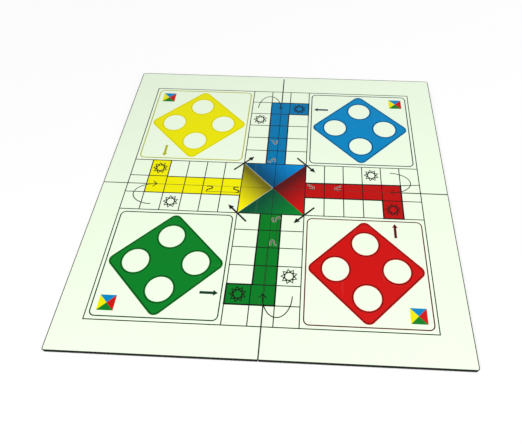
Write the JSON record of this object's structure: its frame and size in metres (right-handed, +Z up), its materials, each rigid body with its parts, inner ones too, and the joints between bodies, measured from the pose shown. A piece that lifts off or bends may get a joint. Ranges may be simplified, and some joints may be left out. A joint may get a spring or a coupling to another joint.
{
  "type": "folding game board",
  "caption": "Square race-game board of rigid laminated panels on cloth hinges, folding front over back and then left under right.",
  "frame": {"origin": "middle of the open board's underside, on the surface it lies on", "axes": "+Z up out of the printed side, +X to the right and +Y away from the viewer, with the open cut on the -Y half of the seam between left and right"},
  "size_m": [0.3048, 0.3048, 0.0032],
  "materials": {
    "core": "fibreboard with black-stained cut edges",
    "print_sheet": "printed sheet under glossy laminate",
    "backing_sheet": "fine-grained matt covering",
    "edge_band": "matt black edge tape",
    "hinge_cloth": "thin woven book cloth, dark"
  },
  "bodies": {
    "panel_back_right": {"core_back_right": "core", "print_sheet_back_right": "print_sheet", "backing_sheet_back_right": "backing_sheet", "edge_band_back_right": "edge_band", "right_hinge_leaf_back": "hinge_cloth", "centre_hinge_leaf_right": "hinge_cloth"},
    "panel_back_left": {"core_back_left": "core", "print_sheet_back_left": "print_sheet", "backing_sheet_back_left": "backing_sheet", "edge_band_back_left": "edge_band", "left_hinge_leaf_back": "hinge_cloth", "centre_hinge_leaf_left": "hinge_cloth"},
    "panel_front_right": {"core_front_right": "core", "print_sheet_front_right": "print_sheet", "backing_sheet_front_right": "backing_sheet", "edge_band_front_right": "edge_band", "right_hinge_leaf_front": "hinge_cloth"},
    "panel_front_left": {"core_front_left": "core", "print_sheet_front_left": "print_sheet", "backing_sheet_front_left": "backing_sheet", "edge_band_front_left": "edge_band", "left_hinge_leaf_front": "hinge_cloth"}
  },
  "joints": [
    {"name": "right_fold", "type": "hinge", "parent": "panel_back_right", "child": "panel_front_right", "pos_m": [0, 0, 0.0033], "axis": [-1, 0, 0], "range_deg": [0, 180]},
    {"name": "left_fold", "type": "hinge", "parent": "panel_back_left", "child": "panel_front_left", "pos_m": [0, 0, 0.0033], "axis": [-1, 0, 0], "range_deg": [0, 180]},
    {"name": "centre_fold", "type": "hinge", "parent": "panel_back_right", "child": "panel_back_left", "pos_m": [0, 0, -0.0001], "axis": [0, -1, 0], "range_deg": [0, 180]}
  ]
}
